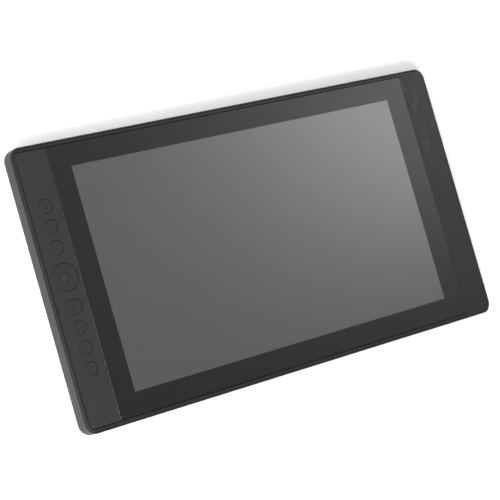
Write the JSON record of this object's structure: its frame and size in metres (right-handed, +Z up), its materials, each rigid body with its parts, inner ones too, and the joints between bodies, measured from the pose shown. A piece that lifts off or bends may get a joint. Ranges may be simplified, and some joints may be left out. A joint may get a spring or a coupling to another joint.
{
  "type": "pen drawing tablet",
  "caption": "Flat pen display with an etched glass screen, a key panel with round keys and a scroll dial at the left, a bare grip strip at the right and fold-out rear legs.",
  "frame": {"origin": "desk level, below the middle of the case and of the picture area", "axes": "+X to the right along the long side (grip strip side), +Y away from the user, +Z up out of the glass"},
  "size_m": [0.45, 0.241, 0.0157],
  "materials": {
    "case_plastic": "fine textured moulding",
    "frame_plastic": "smooth satin moulding",
    "panel_plastic": "matte, very fine grain",
    "key_plastic": "matte, very fine grain",
    "dial_plastic": "matte, very fine grain",
    "etched_glass": "etched anti-glare front, black printed border",
    "adhesive": "black foam tape",
    "display_glass": "dark display panel, switched off",
    "film": "white diffuser films",
    "acrylic": "clear light guide",
    "led": "white LEDs on a strip",
    "sheet_steel": "plain sheet",
    "sheet_aluminium": "plain sheet",
    "circuit_board": "solder mask over glass epoxy",
    "component_black": "moulded component bodies",
    "switch_plastic": "natural plastic",
    "ribbon": "polyimide flex",
    "port_steel": "plated shell",
    "leg_plastic": "glass-filled moulding",
    "soft_rubber": "soft moulded rubber",
    "screw_steel": "blackened",
    "pin_steel": "ground"
  },
  "bodies": {
    "case": {"backlight_tray": "sheet_steel", "board_connectors": "component_black", "board_screws": "screw_steel", "bracket_screws": "screw_steel", "cover_glass": "etched_glass", "cover_screws": "screw_steel", "diffuser_films": "film", "display_cell": "display_glass", "display_flex": "ribbon", "display_ribbon": "ribbon", "driver_board": "circuit_board", "encoder_body": "component_black", "front_frame": "frame_plastic", "glass_adhesive": "adhesive", "key_board": "circuit_board", "key_panel": "panel_plastic", "key_ribbon": "ribbon", "key_switches": "component_black", "led_strip": "led", "leg_pin_left": "pin_steel", "leg_pin_right": "pin_steel", "light_guide": "acrylic", "main_board": "circuit_board", "main_board_chips": "component_black", "panel_brackets": "sheet_steel", "power_switch": "component_black", "rear_cover": "case_plastic", "rubber_feet": "soft_rubber", "sensor_board": "circuit_board", "sensor_ribbon": "ribbon", "sensor_shield": "sheet_aluminium", "shield_can": "sheet_steel", "usb_ports": "port_steel", "video_port": "port_steel"},
    "key_1_set": {"key_1": "key_plastic", "key_plunger_1": "switch_plastic"},
    "key_2_set": {"key_2": "key_plastic", "key_plunger_2": "switch_plastic"},
    "key_3_set": {"key_3": "key_plastic", "key_plunger_3": "switch_plastic"},
    "key_4_set": {"key_4": "key_plastic", "key_plunger_4": "switch_plastic"},
    "key_5_set": {"key_5": "key_plastic", "key_plunger_5": "switch_plastic"},
    "key_6_set": {"key_6": "key_plastic", "key_plunger_6": "switch_plastic"},
    "key_7_set": {"key_7": "key_plastic", "key_plunger_7": "switch_plastic"},
    "dial": {"dial_wheel": "dial_plastic", "encoder_rotor": "switch_plastic"},
    "dial_button_set": {"dial_button": "dial_plastic", "dial_button_plunger": "switch_plastic"},
    "power_button_set": {"power_button": "key_plastic", "power_plunger": "switch_plastic"},
    "left_leg": {"leg_left": "leg_plastic", "leg_pad_left": "soft_rubber"},
    "right_leg": {"leg_right": "leg_plastic", "leg_pad_right": "soft_rubber"}
  },
  "joints": [
    {"name": "key_1_press", "type": "slide", "parent": "case", "child": "key_1_set", "axis": [0, 0, -1], "range_m": [0, 0.0005], "stiffness_N_per_m": 1000, "springref_m": -0.0005},
    {"name": "key_2_press", "type": "slide", "parent": "case", "child": "key_2_set", "axis": [0, 0, -1], "range_m": [0, 0.0005], "stiffness_N_per_m": 1000, "springref_m": -0.0005},
    {"name": "key_3_press", "type": "slide", "parent": "case", "child": "key_3_set", "axis": [0, 0, -1], "range_m": [0, 0.0005], "stiffness_N_per_m": 1000, "springref_m": -0.0005},
    {"name": "key_4_press", "type": "slide", "parent": "case", "child": "key_4_set", "axis": [0, 0, -1], "range_m": [0, 0.0005], "stiffness_N_per_m": 1000, "springref_m": -0.0005},
    {"name": "key_5_press", "type": "slide", "parent": "case", "child": "key_5_set", "axis": [0, 0, -1], "range_m": [0, 0.0005], "stiffness_N_per_m": 1000, "springref_m": -0.0005},
    {"name": "key_6_press", "type": "slide", "parent": "case", "child": "key_6_set", "axis": [0, 0, -1], "range_m": [0, 0.0005], "stiffness_N_per_m": 1000, "springref_m": -0.0005},
    {"name": "key_7_press", "type": "slide", "parent": "case", "child": "key_7_set", "axis": [0, 0, -1], "range_m": [0, 0.0005], "stiffness_N_per_m": 1000, "springref_m": -0.0005},
    {"name": "dial_turn", "type": "hinge", "parent": "case", "child": "dial", "pos_m": [-0.2054, 0.00875, 0.0155], "axis": [0, 0, 1], "continuous": true},
    {"name": "dial_button_press", "type": "slide", "parent": "case", "child": "dial_button_set", "axis": [0, 0, -1], "range_m": [0, 0.0004], "stiffness_N_per_m": 1000, "springref_m": -0.0005},
    {"name": "power_button_press", "type": "slide", "parent": "case", "child": "power_button_set", "axis": [-1, 0, 0], "range_m": [0, 0.0005], "stiffness_N_per_m": 1200, "springref_m": -0.0005},
    {"name": "left_leg_fold", "type": "hinge", "parent": "case", "child": "left_leg", "pos_m": [-0.12, 0.092, 0.0041], "axis": [1, 0, 0], "range_deg": [0, 105]},
    {"name": "right_leg_fold", "type": "hinge", "parent": "case", "child": "right_leg", "pos_m": [0.12, 0.092, 0.0041], "axis": [1, 0, 0], "range_deg": [0, 105]}
  ]
}
